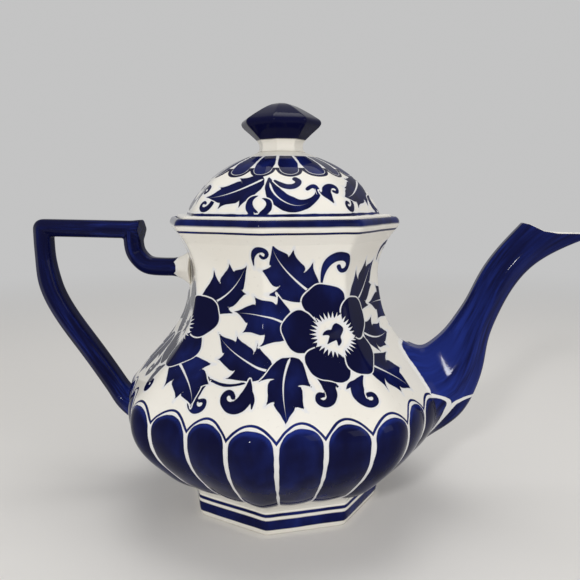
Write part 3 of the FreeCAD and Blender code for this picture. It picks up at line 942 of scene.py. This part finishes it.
for t in steps(LIP_ROWS + 2)[1:-1]:
    edge = spout_outer[-1] * (1.0 - t) + spout_bore[-1] * t
    edge[:, 2] += LIP_BULGE * math.sin(math.pi * t)
    lip.append(edge)
spout_rings = [*spout_outer, *lip, *spout_bore[::-1]]
spout = skin("spout_glazed", spout_rings + spout_rings[:1])

# The brush runs along the spout; petals come up under its foot with a white border
spout_points = points_of(spout)
turn = np.tile(np.arange(columns) * 2.0 * math.pi / columns, len(spout_rings))
outer_run, bore_run = run_along(spout_outer), run_along(spout_bore)
along = np.concatenate([outer_run.ravel(), np.tile(outer_run[-1], LIP_ROWS), bore_run[::-1].ravel()])
give(spout, "flow", np.stack([along, FLOW_ROUND * np.cos(turn), FLOW_ROUND * np.sin(turn)], -1))
spout_angle, spout_radius = round_axis(spout_points)
over_petal = spout_points[:, 2] - fork_height(spout_angle)
petals = petal_arch(spout_angle, spout_radius, over_petal, SPOUT_PETAL)
white_border = SPOUT_BORDER + SPOUT_BORDER_GAIN * rise(over_petal, *SPOUT_BORDER_RISE)
blue_edge = outside_pot(spout_points) - BLUE_FROM
spout_depth = np.maximum(np.minimum(blue_edge, -petals), petals - white_border)
spout_depth[len(spout_outer) * columns:] = WHITE_INSIDE
give(spout, "depth", spout_depth)
give(spout, "tone", np.where(petals > 0.0, PETAL_TONE, np.interp(along, *SPOUT_TONES)))

# Marks of the brush along the spout and the handle: waves per millimetre, and how they are drawn out
HAIR_SCALE, HAIR_STRETCH = 0.95, (0.06, 1.0, 1.0)
BROAD_SCALE, BROAD_STRETCH = 0.25, (0.12, 1.0, 1.0)
PATCH_SCALE, PATCH_STRETCH = 0.09, (0.5, 1.0, 1.0)
EDGE_SCALE = 300.0


def brushed(tree):
    """Cobalt brushed along the piece, over ivory that stays bare where the stored depth is negative."""
    flow = read(tree, "flow", "Vector")
    hairs = noise(tree, HAIR_SCALE, 3.0, HAIR_STRETCH, flow) - 0.5
    broad = noise(tree, BROAD_SCALE, 1.0, BROAD_STRETCH, flow) - 0.5
    patches = ramp(noise(tree, PATCH_SCALE, 1.0, PATCH_STRETCH, flow), 0.42, 0.62)
    share = hairs * (patches * 1.2 + 0.4) + read(tree, "tone") + broad * 0.9
    depth = read(tree, "depth") + (noise(tree, EDGE_SCALE) - 0.5) * HAND_SHAKE
    ground = mix(ramp(depth, -1.6, 0.2) * 0.3, ivory(tree), BLEED)
    return mix(ramp(depth, -BRUSH_EDGE, 0.16), ground, mix(ramp(share, -0.1, 1.1), NAVY, COBALT))


cobalt_glaze = glaze("brushed_cobalt_glaze", brushed)
spout.data.materials.append(cobalt_glaze)
seat(spout)
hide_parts("spout")
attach(spout, "pot")

# Handle
# A solid six-sided porcelain strap, bent to a level grip, a strut down to the belly and an elbow to the
# neck, where it is stuck on with a flared boss. It is brushed with cobalt, and the boss is left white.
HANDLE_WIDTH, HANDLE_THICK, HANDLE_FLAT, HANDLE_SOFT = 14.4, 9.3, 6.4, 0.22
GRIP_TOP, GRIP_TIP, GRIP_BACK, GRIP_TURN, GRIP_LIFT = 138.0, -74.0, -129.33, 0.8, 0.9
BACK_TOP = GRIP_TOP + GRIP_LIFT
STRUT = [
    (GRIP_BACK, BACK_TOP - GRIP_TURN), (GRIP_BACK, 128), (-128.8, 119), (-126.6, 107.2), (-121.3, 95.7),
    (-106.5, 74.6), (-91.3, 53), (-86.4, 47), (-79.2, 43), (-60, 33.6),
]
ELBOW = [
    (-46, 118.8), (-56, 118.8), (-66.4, 118.9), (-71.6, 119.9), (-75.3, 122.8), (-77.8, 126.6),
    (-78.6, 130.4), (-78.6, 138),
]
GRIP_STEPS, BEND_STEPS, STRUT_STEPS, ELBOW_STEPS = 40, 9, 130, 70
# How much the strut, its foot on the belly and the grip's tip are swollen, and where each swelling begins
STRUT_GROWTH, STRUT_FADE = 0.6, (108.0, 126.0)
FOOT_GROWTH, FOOT_SWELL, FOOT_BELOW = 2.0, (-92.0, -78.0), 60.0
TIP_GROWTH, TIP_SWELL = 0.5, -80.0
BOSS_FLARE = [(-57.5, 0), (-54.5, 0.4), (-51.5, 1.4), (-48.5, 3), (-44, 6)]
BOSS_BELOW, BOSS_ABOVE, BOSS_WHITE, BOSS_SCALLOP = 120.0, 100.0, -55.6, 1.8
HANDLE_VOXEL, HANDLE_SUNK, HANDLE_BLUE_FROM = 0.55, 2.0, 0.6
# The brush ran thin towards the foot of the strut
HANDLE_TONE, THIN_TONE, THIN_FROM_TO, THIN_BELOW = 0.05, 0.6, (-97.0, -80.0), 70.0


def strap(path, growth):
    """Rings of a six-sided strap along a flat path of X and Z, swollen by a growth at each point."""
    run = unit(np.gradient(path, axis=0))
    level = np.zeros(len(path))
    out = np.stack([-run[:, 1], level, run[:, 0]], -1)
    side = np.array([0.0, 1.0, 0.0])
    half, thick, flat = (size / 2.0 + growth for size in (HANDLE_WIDTH, HANDLE_THICK, HANDLE_FLAT))
    centre = np.stack([path[:, 0], level, path[:, 1]], -1)
    outs = (-thick, -thick, level, thick, thick, level)
    sides = (-flat, flat, half, flat, -flat, -half)
    corners = [centre + out * o[:, None] + side * s[:, None] for o, s in zip(outs, sides)]
    rings = soft_six(np.stack(corners, 1), HANDLE_SOFT)
    return [centre[:1], *rings, centre[-1:]]


grip_level = [(x, GRIP_TOP + GRIP_LIFT * (x - GRIP_TIP) / (GRIP_BACK - GRIP_TIP))
              for x in np.linspace(GRIP_TIP, GRIP_BACK + GRIP_TURN, GRIP_STEPS)]
grip_bend = [(GRIP_BACK + GRIP_TURN * (1.0 - math.sin(a)), BACK_TOP - GRIP_TURN * (1.0 - math.cos(a)))
             for a in steps(BEND_STEPS)[1:-1] * math.pi / 2.0]
grip_path = np.concatenate([grip_level, grip_bend, through(STRUT, steps(STRUT_STEPS))])
elbow_path = through(ELBOW, steps(ELBOW_STEPS))
boss_x, boss_growth = np.array(BOSS_FLARE).T
elbow_x, elbow_z = elbow_path.T
elbow_growth = np.interp(elbow_x, boss_x, boss_growth, left=0.0) * (elbow_z <= BOSS_BELOW)
grip_x, grip_z = grip_path.T
grip_growth = STRUT_GROWTH * (1.0 - rise(grip_z, *STRUT_FADE))
grip_growth += FOOT_GROWTH * rise(grip_x, *FOOT_SWELL) * (grip_z < FOOT_BELOW)
grip_growth += TIP_GROWTH * rise(grip_x, TIP_SWELL, GRIP_TIP) * (grip_z > GRIP_TOP - 1.0)
handle = skin("handle_glazed", strap(grip_path, grip_growth))
elbow = skin("elbow", strap(elbow_path, elbow_growth))
weld = handle.modifiers.new("weld", "BOOLEAN")
weld.operation = "UNION"
weld.object = elbow
even = handle.modifiers.new("even", "REMESH")
even.mode = "VOXEL"
even.voxel_size = HANDLE_VOXEL * MM
soften = handle.modifiers.new("soften", "SMOOTH")
soften.factor = 0.5
soften.iterations = 5
settle(handle)
bpy.data.objects.remove(elbow)
handle_points = points_of(handle)
sunk = np.minimum(outside_pot(handle_points) + HANDLE_SUNK, 0.0)
handle_points[:, :2] *= (1.0 - sunk / np.maximum(round_axis(handle_points)[1], 1.0))[:, None]
handle.data.vertices.foreach_set("co", (handle_points * MM).astype(np.float32).ravel())
handle.data.shade_smooth()

# The brush runs along the strap, and the blue ends in scallops round the boss
x, y, z = handle_points.T
centre_line = np.concatenate([grip_path, elbow_path])
mileage = run_along(centre_line)
flat_points = np.stack([x, z], -1)
nearest = np.concatenate([
    np.argmin(((part[:, None] - centre_line[None]) ** 2).sum(-1), axis=1)
    for part in np.array_split(flat_points, 40)])
off = np.linalg.norm(flat_points - centre_line[nearest], axis=1)
give(handle, "flow", np.stack([mileage[nearest], off, y], -1))
boss_turn = np.arctan2(y, z - ELBOW[0][1])
boss_edge = BOSS_WHITE + BOSS_SCALLOP * np.abs(np.sin(3.0 * boss_turn))
boss_depth = np.where(z > BOSS_ABOVE, boss_edge - x, FAR_IN)
give(handle, "depth", np.minimum(boss_depth, outside_pot(handle_points) - HANDLE_BLUE_FROM))
give(handle, "tone", HANDLE_TONE + THIN_TONE * rise(x, *THIN_FROM_TO) * (z < THIN_BELOW))
handle.data.materials.clear()
handle.data.materials.append(cobalt_glaze)
seat(handle)
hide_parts("handle")
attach(handle, "pot")

# Lid flange
# A flat octagonal ring of porcelain, stuck under the dome with slip. The lid rests with it on the ledge
# of the mouth rim. Its edge is white over a thin cobalt line.
FLANGE_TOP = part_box("lid_flange")[1][2] / MM
FLANGE_OUTLINE = [
    (40.4, FLANGE_TOP), (40.4, LEDGE), (54.2, LEDGE), (54.7, 142.8), (54.9, 143.4), (54.9, 145),
    (54.6, 145.7), (53.9, FLANGE_TOP),
]
FLANGE_LINE = [(142.0, 143.9, 0.3)]
flange = closed_ring("lid_flange_glazed", FLANGE_OUTLINE)
flange.data.materials.append(glaze("flange_glaze", banded(FLANGE_LINE)))
seat(flange)
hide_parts("lid_flange")
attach(flange, "lid")

# Lid collar
# The octagonal porcelain collar under the flange drops into the mouth and keeps the lid from sliding.
# It is stuck on before firing, and plain white.
COLLAR_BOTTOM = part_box("lid_collar")[0][2] / MM
COLLAR_OUTLINE = [
    (40.4, LEDGE), (40.4, 133.7), (40.7, 133.1), (41.3, COLLAR_BOTTOM), (42.8, COLLAR_BOTTOM),
    (43.4, 133.2), (43.6, 133.8), (43.8, LEDGE),
]
collar = closed_ring("lid_collar_glazed", COLLAR_OUTLINE)
collar.data.materials.append(glaze("plain_glaze", ivory))
seat(collar)
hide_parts("lid_collar")
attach(collar, "lid")

# Lid dome
# The hollow porcelain dome, cast in a mould, stands on the flange. A ring of painted scallops hangs
# round the knob, with toothed leaves and curls below. A small vent is pierced on the handle's side.
DOME_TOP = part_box("lid_dome")[1][2] / MM
DOME_PROFILE = [
    (48.9, FLANGE_TOP), (47.2, 150), (45.1, 153.5), (42.3, 157), (39.4, 160.4), (35.8, 163.8),
    (31, 167.4), (25.5, 170.6), (20.1, 173), (15, 175), (11.8, DOME_TOP),
]
DOME_INSIDE = [
    (9, 172.2), (13.6, 171.2), (19.2, 169.2), (24.6, 166.6), (29.6, 163.4), (33.8, 160), (37.4, 156.4),
    (40.6, 153), (43.2, 150), (45, FLANGE_TOP),
]
DOME_CEILING, DOME_SOFT = 172.3, 1.0 / 28.0
DOME_COLUMNS, DOME_ROWS, CEILING_ROWS = 384, 84, 22
VENT_RADIUS, VENT_PLACE, VENT_FROM, VENT_TO, VENT_SIDES = 2.0, -22.0, 160.0, 185.0, 32
SWEEP = [
    (0, 0), (2, -7), (7, -13), (14, -15.5), (20, -13), (22.5, -8), (20, -5), (17.5, -6.5),
], [0.5, 2.8, 4.0, 3.9, 2.7, 1.7, 1.2, 1.1]
SPRIG = [(0, 0), (4, -3), (8.5, -3.2), (10.5, -0.8), (8.8, 1.2)], [0.6, 1.2, 1.6, 1.5, 1.3]
FLAME = [(0, 0), (3.5, 3.2), (7.5, 2.6), (9.5, -0.8)], [1.8, 2.1, 1.3, 0.3]
SCALLOPS, SCALLOP_TURN, SCALLOP_LINE = 16, 6.25, 0.7
SCALLOP_FORK, SCALLOP_END, SCALLOP_TOP = 167.2, 163.4, 173.6
SCALLOP_BORDER, SCALLOP_BORDER_GAIN, SCALLOP_BORDER_RISE = 0.6, 1.2, (-5.0, 1.5)
LINE_HALF, LINE_UP = 0.65, 0.7

dome_rows = through(DOME_PROFILE, steps(DOME_ROWS))
dome_inside = through(DOME_INSIDE, steps(CEILING_ROWS))
lid_rows = [(0.0, DOME_CEILING), *dome_inside, *dome_rows, (0.0, DOME_TOP)]
dome = skin("lid_dome_glazed", turned(lid_rows, DOME_COLUMNS, DOME_SOFT))
round_vent = np.arange(VENT_SIDES) * 360.0 / VENT_SIDES
vent_rings = [level_ring(0.0, round_vent[:1], VENT_FROM), level_ring(VENT_RADIUS, round_vent, VENT_FROM),
              level_ring(VENT_RADIUS, round_vent, VENT_TO), level_ring(0.0, round_vent[:1], VENT_TO)]
cut(dome, skin("vent_drill", [ring + (VENT_PLACE, 0.0, 0.0) for ring in vent_rings]))

lid_brush = Brushwork(dome, dome_rows)
for corner in (270.0, 0.0, 90.0, 180.0):
    lid_brush.stroke(corner - 37, 157, 256, HOOK, 0.60)
    lid_brush.leaf(corner - 2, 162.6, 199, 33, 8.8, 3, 0.25)
    lid_brush.stroke(corner + 1, 162.8, 0, SWEEP, vein=0.75)
    lid_brush.stroke(corner + 5, 161.6, 0, SPRIG)
    lid_brush.stroke(corner - 4.5, 147.4, 90, FLAME, 0.95)
    lid_brush.stroke(corner - 0.5, 147.4, 90, FLAME, 0.80, -1)
    lid_brush.scroll(corner + 40, 151.5, 75, 0.62)
hang = lid_brush.way_up(SCALLOP_FORK) - lid_brush.climb
drop = lid_brush.way_up(SCALLOP_FORK) - lid_brush.way_up(SCALLOP_END)
scallop = petal_arch(lid_brush.angle + SCALLOP_TURN, lid_brush.radius, hang, drop, count=SCALLOPS)
scallop_border = SCALLOP_BORDER + SCALLOP_BORDER_GAIN * rise(hang, *SCALLOP_BORDER_RISE)
fill = np.minimum(scallop - scallop_border, lid_brush.way_up(SCALLOP_TOP) - lid_brush.climb)
lid_brush.lay(lid_brush.every, fill, BAND_TONE)
base_line = LINE_HALF - np.abs(lid_brush.climb - LINE_UP)
lid_brush.lay(lid_brush.every, base_line, BAND_TONE, joined=True)
dome_corner = np.interp(lid_brush.height, dome_rows[:, 1], dome_rows[:, 0])
outside = lid_brush.radius > dome_corner * octagon(lid_brush.angle, DOME_SOFT) - HALF_WALL
lid_brush.store(dome, outside, np.where(hang > -1.0, SCALLOP_LINE * scallop, NO_ARCH))
dome.data.materials.clear()
dome.data.materials.append(glaze("painted_lid_glaze", painted))
seat(dome)
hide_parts("lid_dome")
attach(dome, "lid")

# Lid knob
# The solid octagonal porcelain knob stands on a short white neck, stuck on top of the dome.
# It is dipped in cobalt down to the neck.
KNOB_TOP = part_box("lid_knob")[1][2] / MM
KNOB_OUTLINE = [
    (0, DOME_TOP), (11.6, DOME_TOP), (12, 176.4), (11.4, 176.9), (11, 177.7), (10.9, 178.6),
    (10.95, 179.8), (11.3, 180.8), (12.1, 181.9), (15.4, 184.9), (18.7, 187.7), (19.6, 188.7),
    (20.05, 189.6), (20.05, 190.4), (19.7, 191.2), (18.8, 192), (15.6, 194), (11, 196.6), (8, 198.1),
    (5.4, 199.1), (2.8, 199.75), (0, KNOB_TOP),
]
KNOB_BLUE, KNOB_TONE = [(182.0, 210.0, 0.3)], -0.1
knob = skin("lid_knob_glazed", crisp_rings(KNOB_OUTLINE))
knob.data.materials.append(glaze("dipped_knob_glaze", banded(KNOB_BLUE, KNOB_TONE)))
seat(knob)
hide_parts("lid_knob")
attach(knob, "lid")

# Floor, light and camera
# A pale floor that runs out into an even pale background, three soft lamps, and the camera where the
# photograph was taken from. Sizes are in metres.
FLOOR_REACH, FLOOR_COLOUR, FLOOR_ROUGHNESS = 3.0, (0.78, 0.76, 0.73, 1.0), 0.6
FADE_FROM, FADE_TO = 0.25, 1.1
WHITE, BACKGROUND, WORLD_LIGHT = (1.0, 1.0, 1.0, 1.0), 0.55, 0.42
floor_mesh = bpy.data.meshes.new("floor")
floor_corners = [
    (x * FLOOR_REACH, y * FLOOR_REACH, 0.0) for x, y in ((-1, -1), (1, -1), (1, 1), (-1, 1))]
floor_mesh.from_pydata(floor_corners, [], [(0, 1, 2, 3)])
floor = place_in_scene("floor", floor_mesh)


def seen_share(tree):
    """1 for rays that show the background: from the camera, in reflections and through glass."""
    camera_ray = node(tree, "ShaderNodeLightPath", output="Is Camera Ray")
    glossy_ray = node(tree, "ShaderNodeLightPath", output="Is Glossy Ray")
    glass_ray = node(tree, "ShaderNodeLightPath", output="Is Transmission Ray")
    return calc("MAXIMUM", calc("MAXIMUM", camera_ray, glossy_ray), glass_ray)


floor_paint = bpy.data.materials.new("pale_floor")
floor_paint.use_nodes = True
tree = floor_paint.node_tree
pale = tree.nodes["Principled BSDF"]
pale.inputs["Base Color"].default_value = FLOOR_COLOUR
pale.inputs["Roughness"].default_value = FLOOR_ROUGHNESS
place = node(tree, "ShaderNodeTexCoord", output="Object")
away = node(tree, "ShaderNodeVectorMath", place, output="Value", operation="LENGTH")
backdrop = node(tree, "ShaderNodeEmission", WHITE, BACKGROUND)
far = ramp(away, FADE_FROM, FADE_TO) * seen_share(tree)
blend = node(tree, "ShaderNodeMixShader", far, Wire(tree, pale.outputs[0]), backdrop)
plug(tree.nodes["Material Output"].inputs[0], blend)
floor.data.materials.append(floor_paint)

world = bpy.data.worlds.new("studio")
bpy.context.scene.world = world
world.use_nodes = True
tree = world.node_tree
background = tree.nodes["Background"].inputs
background["Color"].default_value = WHITE
plug(background["Strength"],
     node(tree, "ShaderNodeMapRange", seen_share(tree), 0.0, 1.0, WORLD_LIGHT, BACKGROUND))


def lamp(name, place, aim, size, power):
    """Soft square lamp that faces a point."""
    light = bpy.data.lights.new(name, "AREA")
    light.size = size
    light.energy = power
    made = place_in_scene(name, light)
    made.location = place
    made.rotation_euler = (Vector(aim) - Vector(place)).to_track_quat("-Z", "Y").to_euler()


lamp("key", (-0.2, -1.0, 0.5), (0.0, 0.0, 0.08), 0.1, 4.4)
lamp("fill", (0.75, -0.45, 0.45), (0.0, 0.0, 0.08), 0.5, 2.0)
lamp("top", (0.0, 0.15, 1.0), (0.0, 0.0, 0.1), 0.6, 2.7)

CAMERA_PLACE = (0.05053 + AXIS_X * MM, -0.30583, 0.15445)
CAMERA_HEADING, CAMERA_PITCH, CAMERA_ROLL = 8.62, 8.63, -0.24
SENSOR, FOCAL_PIXELS, PICTURE_PIXELS = 36.0, 611.7, 580.0
camera_data = bpy.data.cameras.new("camera")
camera_data.sensor_width = SENSOR
camera_data.lens = SENSOR * FOCAL_PIXELS / PICTURE_PIXELS
camera_data.clip_start = 0.01
camera = place_in_scene("camera", camera_data)
aim = (Matrix.Rotation(math.radians(CAMERA_HEADING), 3, "Z")
       @ Matrix.Rotation(math.radians(90.0 - CAMERA_PITCH), 3, "X")
       @ Matrix.Rotation(math.radians(CAMERA_ROLL), 3, "Z"))
camera.matrix_world = Matrix.Translation(CAMERA_PLACE) @ aim.to_4x4()
bpy.context.scene.camera = camera
bpy.context.scene.view_settings.view_transform = "Standard"
